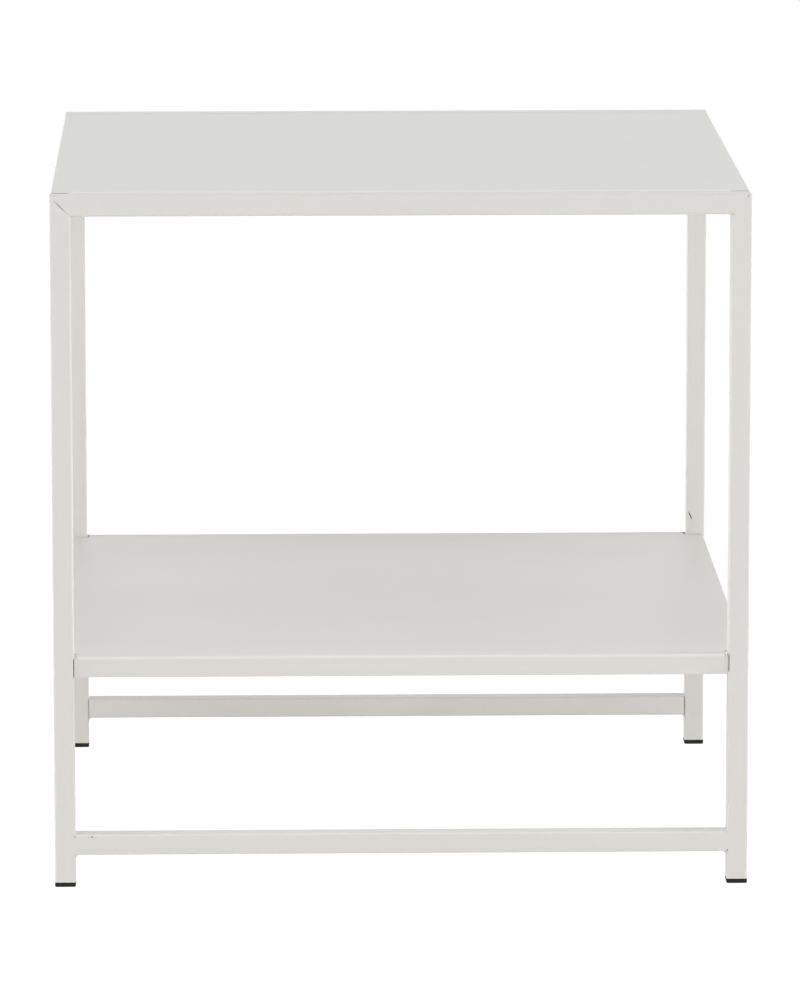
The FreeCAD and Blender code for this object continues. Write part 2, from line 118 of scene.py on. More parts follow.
# %% [markdown]
# ## Building node trees with few words
# Materials and Geometry Nodes are both trees of nodes, and two helpers keep them readable:
# one opens a group with named inputs and outputs, and one adds a node and wires it by the
# names of its sockets. A wire is either a plain value or another node's output, and a list
# of outputs fills a socket that takes several. A third empties a material's tree.

# %% Helpers for node trees


def empty_tree(owner):
    """The node tree of a material or a world, with nothing in it."""
    owner.use_nodes = True
    owner.node_tree.nodes.clear()
    return owner.node_tree


def new_group(name, kind, takes, gives):
    """A node group with (name, socket type, default) inputs and outputs."""
    tree = bpy.data.node_groups.new(name, kind)
    for direction, sockets in (("INPUT", takes), ("OUTPUT", gives)):
        for label, socket_type, default in sockets:
            made = tree.interface.new_socket(
                label, in_out=direction, socket_type=f"NodeSocket{socket_type}"
            )
            if default is not None:
                made.default_value = default
    given = tree.nodes.new("NodeGroupInput").outputs
    result = tree.nodes.new("NodeGroupOutput").inputs
    return tree, given, result


def node(tree, kind, wires=None, **settings):
    """Add a node, set its options, and wire or set its inputs."""
    made = tree.nodes.new(kind)
    for option, value in settings.items():
        setattr(made, option, value)
    for socket, value in (wires or {}).items():
        for source in value if isinstance(value, list) else [value]:
            if isinstance(source, bpy.types.NodeSocket):
                tree.links.new(source, made.inputs[socket])
            else:
                made.inputs[socket].default_value = source
    return made


print("helpers ready: empty_tree, new_group, node")

# %% [markdown]
# The other helpers stand for one node each: arithmetic on numbers and on vectors, a vector
# taken apart and put together, a slope from 0 to 1 between two values, and noise. A cell
# that does much arithmetic in one tree calls it calc.

# %% Helpers for single nodes


def maths(tree, operation, *values):
    """The result of one arithmetic node."""
    return node(tree, "ShaderNodeMath", dict(enumerate(values)), operation=operation).outputs[0]


def vector_maths(tree, operation, *values):
    """The outputs of one node of vector arithmetic."""
    wires = dict(enumerate(values))
    return node(tree, "ShaderNodeVectorMath", wires, operation=operation).outputs


def split_xyz(tree, vector):
    return node(tree, "ShaderNodeSeparateXYZ", {0: vector}).outputs


def join_xyz(tree, **parts):
    return node(tree, "ShaderNodeCombineXYZ", parts).outputs[0]


def ramp(tree, value, off, on):
    """0 where the value is off, 1 where it is on, and a slope between."""
    wires = {"Value": value, "From Min": off, "From Max": on}
    return node(tree, "ShaderNodeMapRange", wires).outputs[0]


def noise(tree, vector, scale, detail):
    wires = {"Vector": vector, "Scale": scale, "Detail": detail}
    return node(tree, "ShaderNodeTexNoise", wires).outputs["Fac"]


print("helpers ready: maths, vector_maths, split_xyz, join_xyz, ramp, noise")

# %% [markdown]
# ## The skin of the coating
# Powder coat melts and flows as it is baked. It never gets quite flat: it keeps a fine
# rippled skin that makers call orange peel, about a millimetre and a half from crest to
# crest, with a finer grain on top. Broad, faint clouds in tone and gloss keep large panels
# from looking printed. Both come from noise on the object's own coordinates, so the pattern
# is the same size on every piece. The group puts out numbers only, and each material feeds
# them to its own shader.

# %% Shader group: rippled skin
PEEL_PER_METRE = 650.0
GRAIN_PER_METRE = 2600.0
CLOUDS_PER_METRE = 7.0

skin_group, given, result = new_group(
    "rippled_skin",
    "ShaderNodeTree",
    takes=(
        ("Vector", "Vector", None),
        ("Peel Scale", "Float", PEEL_PER_METRE),
        ("Grain Scale", "Float", GRAIN_PER_METRE),
        ("Grain Share", "Float", 0.25),
        ("Cloud Scale", "Float", CLOUDS_PER_METRE),
        ("Gloss", "Float", 0.4),
        ("Gloss Change", "Float", 0.08),
    ),
    gives=(("Height", "Float", None), ("Roughness", "Float", None), ("Clouds", "Float", None)),
)
calc = partial(maths, skin_group)
peel = noise(skin_group, given["Vector"], given["Peel Scale"], 1.0)
grain = noise(skin_group, given["Vector"], given["Grain Scale"], 2.0)
clouds = noise(skin_group, given["Vector"], given["Cloud Scale"], 3.0)
grain_part = calc("MULTIPLY", grain, given["Grain Share"])
height = calc("ADD", peel, grain_part)
centred = calc("SUBTRACT", clouds, 0.5)
gloss_part = calc("MULTIPLY", centred, given["Gloss Change"])
roughness = calc("ADD", given["Gloss"], gloss_part)
for name, value in (("Height", height), ("Roughness", roughness), ("Clouds", clouds)):
    skin_group.links.new(value, result[name])
print(f"rippled_skin: {len(skin_group.nodes)} nodes")

# %% [markdown]
# Real coated steel has a nick or two, where the coat was knocked off and the dark steel shows,
# and the same dark is painted shade in narrow gaps. A mark is a small slanted ellipsoid of
# space: the group measures how far a point lies from its centre in half lengths, roughens that
# distance with noise, and answers 1 inside and 0 outside. A material adds up as many marks as its
# piece has.

# %% Shader group: dark marks for nicks and painted shade
MARK_CORE, MARK_EDGE = 0.7, 1.1

dark_mark_group, given, result = new_group(
    "coat_nick_and_painted_shade",
    "ShaderNodeTree",
    takes=(
        ("Vector", "Vector", None),
        ("Centre", "Vector", (0.0, 0.0, 0.0)),
        ("Half Lengths", "Vector", (MM, MM, MM)),
        ("Slant", "Float", 0.0),
        ("Raggedness", "Float", 0.5),
    ),
    gives=(("Mask", "Float", None),),
)
calc = partial(maths, dark_mark_group)
offset = vector_maths(dark_mark_group, "SUBTRACT", given["Vector"], given["Centre"])[0]
split = split_xyz(dark_mark_group, offset)
lean = calc("MULTIPLY", split["Z"], given["Slant"])
across = calc("SUBTRACT", split["X"], lean)
leaned = join_xyz(dark_mark_group, X=across, Y=split["Y"], Z=split["Z"])
in_half_lengths = vector_maths(dark_mark_group, "DIVIDE", leaned, given["Half Lengths"])[0]
distance = vector_maths(dark_mark_group, "LENGTH", in_half_lengths)["Value"]
ragged = noise(dark_mark_group, given["Vector"], GRAIN_PER_METRE, 1.0)
ragged = calc("SUBTRACT", ragged, 0.5)
ragged = calc("MULTIPLY", ragged, given["Raggedness"])
edge = calc("ADD", distance, ragged)
dark_mark_group.links.new(ramp(dark_mark_group, edge, MARK_EDGE, MARK_CORE), result["Mask"])
print(f"coat_nick_and_painted_shade: {len(dark_mark_group.nodes)} nodes")

# %% [markdown]
# ## A material with a skin
# Coat, plastic and zinc share one build. Each blends two close tones by the clouds, takes
# its roughness from the group, and sends the height through a Bump node, whose Distance is
# the true depth of the ripples in metres. What only one of them has is added afterwards.

# %% Helpers for materials


def mixed(tree, share, low, high):
    """Blend two colours; each may be a plain colour or a node's output."""
    wires = {"Factor": share, 6: low, 7: high}
    return node(tree, "ShaderNodeMix", wires, data_type="RGBA").outputs[2]


def skinned(name, depth, low, high, settings):
    """A material with the rippled skin, and its tree, shader, coordinates and colour."""
    material = bpy.data.materials.new(name)
    tree = empty_tree(material)
    shader = node(tree, "ShaderNodeBsdfPrincipled")
    node(tree, "ShaderNodeOutputMaterial", {"Surface": shader.outputs[0]})
    place = node(tree, "ShaderNodeTexCoord").outputs["Object"]
    wires = {"Vector": place, **settings}
    skin = node(tree, "ShaderNodeGroup", wires, node_tree=skin_group).outputs
    wires = {"Height": skin["Height"], "Distance": depth, "Strength": 1.0}
    normal = node(tree, "ShaderNodeBump", wires).outputs["Normal"]
    colour = mixed(tree, skin["Clouds"], low, high)
    tree.links.new(colour, shader.inputs["Base Color"])
    tree.links.new(skin["Roughness"], shader.inputs["Roughness"])
    tree.links.new(normal, shader.inputs["Normal"])
    return material, tree, shader, place, colour


print("helpers ready: mixed, skinned")

# %% [markdown]
# ## The powder coat
# The coat is a warm off-white. Its clouds shift the tone by about a hundredth, which the eye
# reads as a real surface and not as a change of colour. A painted highlight pales the front
# folds of the top and the shelf, and painted light pales the upward faces of the front
# stretcher. The steel under a nick is dark, and the same dark is painted shade in narrow gaps.

# %% Material: powder coat
COAT = (0.76, 0.755, 0.73, 1.0)
COAT_SHADED = (0.735, 0.732, 0.708, 1.0)
# Painted highlight: the paler tone along the front folds, where the bends catch the light.
COAT_PAINTED_HIGHLIGHT = (0.84, 0.83, 0.805, 1.0)
# Painted light: the paler tone given to the upward faces of the front stretcher, which the shelf
# shades.
COAT_PAINTED_TOP_LIGHT = (0.86, 0.852, 0.828, 1.0)
# The dark of bare steel under a nick, also used as painted shade in gaps and notches.
NICK_AND_SHADE_DARK = (0.035, 0.033, 0.032, 1.0)
COAT_GLOSS = 0.42
PEEL_DEPTH = 0.012 * MM
# How softly the painted fold highlight fades out at its edges.
FOLD_HIGHLIGHT_BLUR = 1.2 * MM
TOP_LIGHT_STARTS, TOP_LIGHT_FULL = 0.3, 0.9


def powder_coat(name, nick_and_shade_marks=(), fold_highlight=None, painted_top_light=False):
    """The coat; a painted fold highlight is (how far forward it starts, its half width, its lowest
    level).
    """
    material, tree, shader, place, colour = skinned(
        name, PEEL_DEPTH, COAT, COAT_SHADED, {"Gloss": COAT_GLOSS}
    )
    # Painted highlight: a paler band along a front fold, standing for the light on the bend.
    if fold_highlight:
        start, half_width, level = fold_highlight
        split = split_xyz(tree, place)
        forward = maths(tree, "MULTIPLY", split["Y"], -1.0)
        sideways = maths(tree, "ABSOLUTE", split["X"])
        fold_highlight_mask = ramp(tree, forward, start, start + FOLD_HIGHLIGHT_BLUR)
        within = ramp(tree, sideways, half_width + FOLD_HIGHLIGHT_BLUR, half_width)
        fold_highlight_mask = maths(tree, "MULTIPLY", fold_highlight_mask, within)
        high_up = ramp(tree, split["Z"], level - FOLD_HIGHLIGHT_BLUR, level)
        fold_highlight_mask = maths(tree, "MULTIPLY", fold_highlight_mask, high_up)
        colour = mixed(tree, fold_highlight_mask, colour, COAT_PAINTED_HIGHLIGHT)
    # Painted light: faces that point up are painted paler.
    if painted_top_light:
        facing = node(tree, "ShaderNodeTexCoord").outputs["Normal"]
        top_light_mask = ramp(tree, split_xyz(tree, facing)["Z"], TOP_LIGHT_STARTS, TOP_LIGHT_FULL)
        colour = mixed(tree, top_light_mask, colour, COAT_PAINTED_TOP_LIGHT)
    # Each mark mixes in the dark, for a nick and for painted shade alike.
    for centre, half_lengths, slant, strength in nick_and_shade_marks:
        wires = {
            "Vector": place,
            "Centre": centre,
            "Half Lengths": tuple(length * MM for length in half_lengths),
            "Slant": slant,
        }
        dark_mark = node(tree, "ShaderNodeGroup", wires, node_tree=dark_mark_group)
        share = maths(tree, "MULTIPLY", dark_mark.outputs["Mask"], strength)
        colour = mixed(tree, share, colour, NICK_AND_SHADE_DARK)
    tree.links.new(colour, shader.inputs["Base Color"])
    return material


print(f"powder_coat: tone {COAT[:3]}, gloss {COAT_GLOSS}")

# %% [markdown]
# The dark marks are listed by piece: nicks, a scratch and seam ends, and painted shade. Each has
# a place in metres, half lengths in millimetres, a slant and a strength. Marks in a row run
# together, which paints the shade of the gaps beside the shelf's front corners and of a slit at
# each front corner of the top. The painted fold highlights are given by their places too.

# %% The coats of all pieces
# Where the painted fold highlights lie on the top and on the shelf.
TOP_FOLD_HIGHLIGHT = (0.2266, 0.234, 0.5)
SHELF_FOLD_HIGHLIGHT = (0.2446, 0.2325, shelf_high.z - 1.2 * MM)
# Painted shade: dark lines at both front corners of the top stand for the shadow in the slit beside
# the rail.
TOP_PAINTED_SLIT_SHADE = tuple(
    ((place, -0.2345, 0.5025), (6.0, half_width, 2), 0.0, 1.0)
    for place, half_width in ((-0.2452, 0.4), (-0.2395, 0.4), (0.2395, 0.34), (0.2452, 0.34))
)
NICKS_AND_PAINTED_SHADE = {
    # Painted shade: dark lines on the front left leg's inner corner stand for the shadow in the gap
    # beside the shelf's front lip.
    "front_left_leg": tuple(
        ((-0.23526, -0.2494, height), (0.33, 2.5, 3.6), 0.0, 1.0)
        for height in (0.1568, 0.1608, 0.1648)
    ),
    # Painted shade beside the shelf's front right corner as well; the last mark is a dark seam end
    # inside the mitre.
    "front_right_leg": tuple(
        ((0.23562, -0.2494, height), (0.43, 2.5, 3.6), 0.0, 0.9)
        for height in (0.1588, 0.1628, 0.1666)
    )
    + (((0.2359, -0.25, 0.4878), (1.2, 2, 0.7), 0.0, 0.22),),
    "rear_right_leg": (((0.2385, 0.235, 0.1834), (0.55, 2, 3.4), -0.42, 1.0),),
    "front_top_rail": (((0.247, -0.2497, 0.5006), (0.9, 2, 0.9), 0.0, 0.35),),
    # A dark spot on the top of the right rear strip, beside the rear leg.
    "shelf_strips": (((0.2341, 0.2466, 0.1679), (0.55, 2, 0.6), 0.0, 0.7),),
    # Painted shade: dark spots in the notches over the ends of the front groove fills.
    "front_frame_welds": (
        ((-0.2354, -0.25, 0.0372), (0.5, 2.5, 0.5), 0.0, 0.8),
        ((0.2354, -0.25, 0.0247), (0.6, 2.5, 0.7), 0.0, 0.8),
    ),
    "front_stretcher": (
        ((-0.2229, -0.25, 0.0369), (1.1, 2, 0.75), 0.0, 0.5),
        ((-0.2254, -0.25, 0.0368), (0.35, 2, 0.35), 0.0, 0.4),
        ((-0.2203, -0.25, 0.0368), (0.35, 2, 0.35), 0.0, 0.4),
        ((0.1013, -0.25, 0.0391), (0.35, 2, 0.3), 0.0, 0.8),
    ),
}
# The piece whose upward faces get the painted light.
PAINTED_TOP_LIGHT_PIECE = "front_stretcher"

coat = powder_coat("powder_coat")
top_coat = powder_coat("powder_coat_top", TOP_PAINTED_SLIT_SHADE, TOP_FOLD_HIGHLIGHT)
shelf_coat = powder_coat("powder_coat_shelf", (), SHELF_FOLD_HIGHLIGHT)


def coat_of(node_name):
    """The plain coat, or one of its own for a piece with nicks, painted shade and painted light."""
    nick_and_shade_marks = NICKS_AND_PAINTED_SHADE.get(node_name)
    if not nick_and_shade_marks:
        return coat
    return powder_coat(f"powder_coat_{node_name}", nick_and_shade_marks, painted_top_light=node_name == PAINTED_TOP_LIGHT_PIECE)


print(f"{sum(len(nick_and_shade_marks) for nick_and_shade_marks in NICKS_AND_PAINTED_SHADE.values())} nicks on {len(NICKS_AND_PAINTED_SHADE)} pieces")

# %% [markdown]
# ## Plastic feet and zinc screws
# The feet are moulded in black plastic with a fine spark-eroded grain, and the floor rubs
# their lower edge grey. The fasteners are zinc-plated: bright and a little cloudy. Both
# reuse the rippled skin with other numbers.

# %% Materials: foot plastic and zinc steel
PLASTIC = (0.012, 0.012, 0.013, 1.0)
PLASTIC_RUBBED = (0.03, 0.029, 0.028, 1.0)
PLASTIC_SHEEN = 0.2
PLASTIC_SKIN = {"Gloss": 0.55, "Gloss Change": 0.2, "Peel Scale": 3000.0, "Cloud Scale": 300.0}
PLASTIC_SKIN_DEPTH = 0.02 * MM
RUBBED_HEIGHT = 0.8 * MM
ZINC = (0.62, 0.63, 0.65, 1.0)
ZINC_CLOUDED = (0.52, 0.53, 0.54, 1.0)
ZINC_SKIN = {"Gloss": 0.28, "Gloss Change": 0.25, "Peel Scale": 1800.0, "Cloud Scale": 300.0}
ZINC_SKIN_DEPTH = 0.006 * MM

plastic, tree, shader, place, colour = skinned(
    "foot_plastic", PLASTIC_SKIN_DEPTH, PLASTIC, PLASTIC, PLASTIC_SKIN
)
rubbed = ramp(tree, split_xyz(tree, place)["Z"], RUBBED_HEIGHT, 0.0)
tree.links.new(mixed(tree, rubbed, colour, PLASTIC_RUBBED), shader.inputs["Base Color"])
shader.inputs["Specular IOR Level"].default_value = PLASTIC_SHEEN

zinc, _, shader, _, _ = skinned("zinc_steel", ZINC_SKIN_DEPTH, ZINC, ZINC_CLOUDED, ZINC_SKIN)
shader.inputs["Metallic"].default_value = 1.0
print("foot_plastic and zinc_steel ready")

# %% [markdown]
# ## Growing meshes from Geometry Nodes
# A geometry tree describes a shape by rules, which suits what is made by rules: extruded
# tube, ripples of weld, turned screws. The tree runs as a modifier on an empty object. Its
# inputs are set by their identifiers, then the evaluated result is copied out as a plain
# mesh and the modifier is thrown away, so that what is left is an ordinary piece.

# %% Run a geometry tree


def evaluated_mesh(piece):
    """What a piece's modifiers make of it, as a plain mesh."""
    evaluated = piece.evaluated_get(bpy.context.evaluated_depsgraph_get())
    return bpy.data.meshes.new_from_object(evaluated)


def grow(name, tree, values, seeds=None):
    """Run a geometry tree and return its result as an object with a plain mesh."""
    host = placed(name, seeds or bpy.data.meshes.new(name))
    modifier = host.modifiers.new("grow", "NODES")
    modifier.node_group = tree
    for item in tree.interface.items_tree:
        if item.in_out == "INPUT" and item.name in values:
            modifier[item.identifier] = values[item.name]
    mesh = evaluated_mesh(host)
    host.modifiers.remove(modifier)
    host.data = mesh
    mesh.name = name
    while mesh.materials and mesh.materials[0] is None:
        mesh.materials.pop(index=0)
    return host


print("helpers ready: evaluated_mesh, grow")

# %% [markdown]
# A finished piece has no doubled points, no loose edges and all faces outwards. Then it is
# dressed: it rides on the table's one body, and the measured nodes it stands for are hidden.

# %% Clean and dress a piece
MERGE_DISTANCE = 0.001 * MM


@contextmanager
def edited(mesh):
    """Open a mesh for editing and write it back at the end."""
    work = bmesh.new()
    work.from_mesh(mesh)
    yield work
    work.to_mesh(mesh)
    work.free()


def outward(mesh):
    """Merge doubled points, drop loose edges and turn every face outwards."""
    with edited(mesh) as work:
        bmesh.ops.remove_doubles(work, verts=work.verts, dist=MERGE_DISTANCE)
        loose = [edge for edge in work.edges if not edge.link_faces]
        bmesh.ops.delete(work, geom=loose, context="EDGES")
        bmesh.ops.recalc_face_normals(work, faces=work.faces)


def dress(piece, slot, *nodes):
    """Let a finished piece ride with the table and stand for its measured nodes."""
    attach(piece, "root")
    if nodes:
        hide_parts(*nodes)
    print(f"{piece.name}: {len(piece.data.polygons)} faces")


print("helpers ready: edited, outward, dress")

# %% [markdown]
# ## Square tube
# Square steel tube is rolled from strip, so it has round corners outside and in. The tree
# fills the space between two rounded squares and pulls that ring up into a tube. Where the
# frame turns a corner, both tubes are cut at 45 degrees: moving the end ring by its own
# sideways place leans it over. A hurried cut leaves the joint a hair open, and a butted end
# leaves a thin slit, so each end also takes a gap. A drawn curve shapes the gap of a mitre
# from its outer end to its inner one, and a shape of 0 keeps the gap even.

# %% Geometry tree: mitred square tube
TUBE_WALL = 1.2 * MM
TUBE_CORNER = 1.5 * MM
BORE_CORNER = 0.5 * MM
CORNER_STEPS = 7
SIDE_CUTS = 9
GAP_PROFILE = (
    (0.0, 0.0),
    (0.27, 0.0),
    (0.36, 1.0),
    (0.56, 0.95),
    (0.68, 0.45),
    (0.8, 0.3),
    (0.92, 0.3),
    (1.0, 1.0),
)
SHARP_ANGLE = math.radians(35)

tube_tree, given, result = new_group(
    "square_tube",
    "GeometryNodeTree",
    takes=(
        ("Side", "Float", TUBE_SIDE),
        ("Wall", "Float", TUBE_WALL),
        ("Corner", "Float", TUBE_CORNER),
        ("Bore Corner", "Float", BORE_CORNER),
        ("Length", "Float", 0.5),
        ("Start Mitre", "Float", 0.0),
        ("End Mitre", "Float", 0.0),
        ("Start Gap", "Float", 0.0),
        ("End Gap", "Float", 0.0),
        ("Gap Shape", "Float", 0.0),
        ("Finish", "Material", None),
    ),
    gives=(("Geometry", "Geometry", None),),
)


def rounded_square(tree, side, radius):
    wires = {"Width": side, "Height": side}
    square = node(tree, "GeometryNodeCurvePrimitiveQuadrilateral", wires)
    wires = {"Curve": square.outputs[0], "Cuts": SIDE_CUTS}
    cut = node(tree, "GeometryNodeSubdivideCurve", wires)
    wires = {"Curve": cut.outputs[0], "Radius": radius, "Count": CORNER_STEPS}
    return node(tree, "GeometryNodeFilletCurve", wires, mode="POLY").outputs[0]


def joined(tree, *parts):
    return node(tree, "GeometryNodeJoinGeometry", {"Geometry": list(parts)}).outputs[0]


def moved(tree, geometry, position):
    """The geometry with each of its points at a new position."""
    wires = {"Geometry": geometry, "Position": position}
    return node(tree, "GeometryNodeSetPosition", wires).outputs[0]


def shaded(tree, geometry, finish):
    """Smooth faces, sharp edges, real geometry and a material: how each tree ends."""
    smooth = node(tree, "GeometryNodeSetShadeSmooth", {"Geometry": geometry})
    angle = node(tree, "GeometryNodeInputMeshEdgeAngle").outputs["Unsigned Angle"]
    wires = {
        "Geometry": smooth.outputs[0],
        "Selection": maths(tree, "GREATER_THAN", angle, SHARP_ANGLE),
        "Shade Smooth": False,
    }
    sharp = node(tree, "GeometryNodeSetShadeSmooth", wires, domain="EDGE")
    real = node(tree, "GeometryNodeRealizeInstances", {"Geometry": sharp.outputs[0]})
    wires = {"Geometry": real.outputs[0], "Material": finish}
    return node(tree, "GeometryNodeSetMaterial", wires).outputs[0]


calc = partial(maths, tube_tree)
bore = calc("MULTIPLY_ADD", given["Wall"], -2.0, given["Side"])
outside = rounded_square(tube_tree, given["Side"], given["Corner"])
inside = rounded_square(tube_tree, bore, given["Bore Corner"])
both = joined(tube_tree, outside, inside)
ring = node(tube_tree, "GeometryNodeFillCurve", {"Curve": both}).outputs[0]
wires = {"Mesh": ring, "Offset": (0, 0, 1), "Offset Scale": given["Length"], "Individual": False}
pulled = node(tube_tree, "GeometryNodeExtrudeMesh", wires)
base = node(tube_tree, "GeometryNodeFlipFaces", {"Mesh": ring})
closed = joined(tube_tree, pulled.outputs[0], base.outputs[0])
point = split_xyz(tube_tree, node(tube_tree, "GeometryNodeInputPosition").outputs[0])
half_side = calc("MULTIPLY", given["Side"], 0.5)
inward = calc("ADD", point["X"], half_side)
share = calc("DIVIDE", inward, given["Side"])
drawn = node(tube_tree, "ShaderNodeFloatCurve", {"Value": share})
profile = drawn.mapping.curves[0].points
profile[0].location, profile[1].location = GAP_PROFILE[0], GAP_PROFILE[-1]
for drawn_point in GAP_PROFILE[1:-1]:
    profile.new(*drawn_point)
drawn.mapping.update()
shaping = calc("SUBTRACT", drawn.outputs[0], 1.0)
growth = calc("MULTIPLY_ADD", shaping, given["Gap Shape"], 1.0)
start_gap = calc("MULTIPLY", growth, given["Start Gap"])
start = calc("MULTIPLY_ADD", inward, given["Start Mitre"], start_gap)
end_gap = calc("MULTIPLY", growth, given["End Gap"])
end = calc("MULTIPLY_ADD", inward, given["End Mitre"], end_gap)
end = calc("SUBTRACT", given["Length"], end)
middle = calc("MULTIPLY", given["Length"], 0.5)
at_end = calc("GREATER_THAN", point["Z"], middle)
travel = calc("SUBTRACT", end, start)
along = calc("MULTIPLY_ADD", at_end, travel, start)
cut = moved(tube_tree, closed, join_xyz(tube_tree, X=point["X"], Y=point["Y"], Z=along))
tube_tree.links.new(shaded(tube_tree, cut, given["Finish"]), result[0])
print(f"square_tube: {len(tube_tree.nodes)} nodes")

# %% [markdown]
# Each tube is grown standing at the origin and then laid along its node's box, with its own
# +X towards the inside of the frame. Its mesh keeps the place in its points, so the object
# itself stays at the origin. The legs stop at the height where their plastic caps show. The
# grinder that cleans the mitres also eases the frame's sharp upper corners, so a fan of flat
# cuts rounds them off. A Weighted Normal modifier keeps the flat sides flat to the light and
# lets only the corners shade round.

# %% The eight tubes
MITRE_OPENING = 0.33 * MM
BUTT_SLIT = 0.35 * MM
FOOT_SHOWS = 3.4 * MM
CORNER_EASE = {
    ("front", LEFT): 0.7 * MM,
    ("front", RIGHT): 1.9 * MM,
    ("rear", LEFT): 2.0 * MM,
    ("rear", RIGHT): 2.0 * MM,
}
EASE_STEPS = 4
QUARTER_TURN = math.pi / 2


def keep_flats(piece):
    """Keep flat sides flat to the light, and leave the result as a plain mesh."""
    piece.modifiers.new("flats", "WEIGHTED_NORMAL").keep_sharp = True
    mesh = evaluated_mesh(piece)
    piece.modifiers.clear()
    piece.data = mesh


def ease_corner(mesh, corner, radius):
    """Grind off an upper outer corner of the frame with a fan of flat cuts."""
    outer = math.copysign(1, corner.x)
    centre = corner - Vector((outer * radius, 0, radius))
    with edited(mesh) as work:
        for step in range(1, EASE_STEPS + 1):
            turn = QUARTER_TURN * step / (EASE_STEPS + 1)
            heading = Vector((outer * math.sin(turn), 0, math.cos(turn)))
            bmesh.ops.bisect_plane(
                work,
                geom=work.verts[:] + work.edges[:] + work.faces[:],
                plane_co=centre + heading * radius,
                plane_no=heading,
                clear_outer=True,
            )
            open_edges = [edge for edge in work.edges if edge.is_boundary]
            bmesh.ops.holes_fill(work, edges=open_edges)


def tube(node_name, along, inward, mitres=(0.0, 0.0), gaps=(0.0, 0.0), gap_shape=0.0):
    """A tube laid along its node's box; mitres and gaps are (start, end)."""
    low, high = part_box(node_name)
    low.z = max(low.z, FOOT_SHOWS)
    length = (high - low).dot(along)
    values = {
        "Length": length,
        "Start Mitre": mitres[0],
        "End Mitre": mitres[1],
        "Start Gap": gaps[0],
        "End Gap": gaps[1],
        "Gap Shape": gap_shape,
        "Finish": coat_of(node_name),
    }
    piece = grow(f"{node_name}_tube", tube_tree, values)
    outward(piece.data)
    lay = Matrix((inward, along.cross(inward), along)).transposed().to_4x4()
    start = (low + high) / 2 - along * length / 2
    piece.data.transform(Matrix.Translation(start) @ lay)
    for (frame_word, side), radius in CORNER_EASE.items():
        corner = Vector((cad_bounds[1].x * side, 0, cad_bounds[1].z))
        at_corner = low.x <= corner.x <= high.x and high.z == corner.z
        if at_corner and node_name.startswith(frame_word):
            ease_corner(piece.data, corner, radius)
    outward(piece.data)
    piece.data.set_sharp_from_angle(angle=SHARP_ANGLE)
    keep_flats(piece)
    dress(piece, "powder_coat", node_name)


for depth_word, depth_side in (("front", FRONT), ("rear", REAR)):
    left_gap = MITRE_OPENING if depth_side == FRONT else 0.0
    tube(f"{depth_word}_left_leg", UP, TO_RIGHT, (0, 1), (0, left_gap), 1.0)
    tube(f"{depth_word}_right_leg", UP, -TO_RIGHT, (0, 1))
    tube(f"{depth_word}_top_rail", TO_RIGHT, DOWN, (1, 1), (left_gap, 0), 1.0)
    slit = BUTT_SLIT if depth_side == REAR else 0.0
    tube(f"{depth_word}_stretcher", TO_RIGHT, DOWN, gaps=(slit, slit))

# %% [markdown]
# ## Placing copies
# Welds and screws repeat, and each copy has a place, a turn and a size. A mesh of loose
# points carries all three: the points are the places, and two attributes hold the turns and
# the scales. The geometry trees read them and put one instance on each point.

# %% Points that carry a turn and a size


def seeds(name, places):
    """A mesh of points; places are (point, Euler turn, three scales)."""
    mesh = bpy.data.meshes.new(name)
    mesh.from_pydata([place[0] for place in places], [], [])
    for label, position in (("turn", 1), ("stretch", 2)):
        values = mesh.attributes.new(label, "FLOAT_VECTOR", "POINT")
        for record, place in zip(values.data, places):
            record.vector = place[position]
    return mesh


def attribute(tree, name):
    wires = {"Name": name}
    return node(tree, "GeometryNodeInputNamedAttribute", wires, data_type="FLOAT_VECTOR").outputs[0]


def copies(tree, points, pattern):
    """Instances of a pattern on the points, turned and stretched as their attributes say."""
    rotation = node(tree, "FunctionNodeEulerToRotation", {0: attribute(tree, "turn")})
    wires = {
        "Points": points,
        "Instance": pattern,
        "Rotation": rotation.outputs[0],
        "Scale": attribute(tree, "stretch"),
    }
    return node(tree, "GeometryNodeInstanceOnPoints", wires).outputs[0]


print("seeds and copies ready")

# %% [markdown]
# ## Weld beads
# A fillet weld is laid in small steps, and each step leaves a ripple. Its section is nearly
# a triangle in the corner between two tubes, a little swollen. The tree sweeps a quarter
# disc, flattened towards that triangle, along a short line, and scales it as it goes: down
# and up again for each ripple, and down to little at both ends. The coat on top rounds it
# all off, so the ripples stay shallow.

# %% Geometry tree: rippled weld bead
weld_tree, given, result = new_group(
    "weld_bead",
    "GeometryNodeTree",
    takes=(
        ("Geometry", "Geometry", None),
        ("Leg", "Float", 2.5 * MM),
        ("Length", "Float", 12 * MM),
        ("Ripples", "Float", 9.0),
        ("Ripple Depth", "Float", 0.12),
        ("Flattening", "Float", 0.34),
        ("Finish", "Material", None),
    ),
    gives=(("Geometry", "Geometry", None),),
)
POINTS_PER_RIPPLE = 8
SECTION_POINTS = 9
END_STEEPNESS = 7.0
SMALLEST_SECTION = 0.35

calc = partial(maths, weld_tree)
start, end = (
    join_xyz(weld_tree, Y=calc("MULTIPLY", given["Length"], share))
    for share in (-0.5, 0.5)
)
path = node(weld_tree, "GeometryNodeCurvePrimitiveLine", {"Start": start, "End": end})
stops = calc("MULTIPLY", given["Ripples"], POINTS_PER_RIPPLE)
path = node(weld_tree, "GeometryNodeResampleCurve", {"Curve": path.outputs[0], "Count": stops})
section = node(
    weld_tree,
    "GeometryNodeCurveArc",
    {
        "Resolution": SECTION_POINTS,
        "Radius": given["Leg"],
        "Start Angle": -QUARTER_TURN,
        "Sweep Angle": QUARTER_TURN,
        "Connect Center": True,
    },
)
point = node(weld_tree, "GeometryNodeInputPosition").outputs[0]
xyz = split_xyz(weld_tree, point)
area = calc("MULTIPLY", xyz["X"], xyz["Y"])
area = calc("DIVIDE", area, calc("POWER", given["Leg"], 2.0))
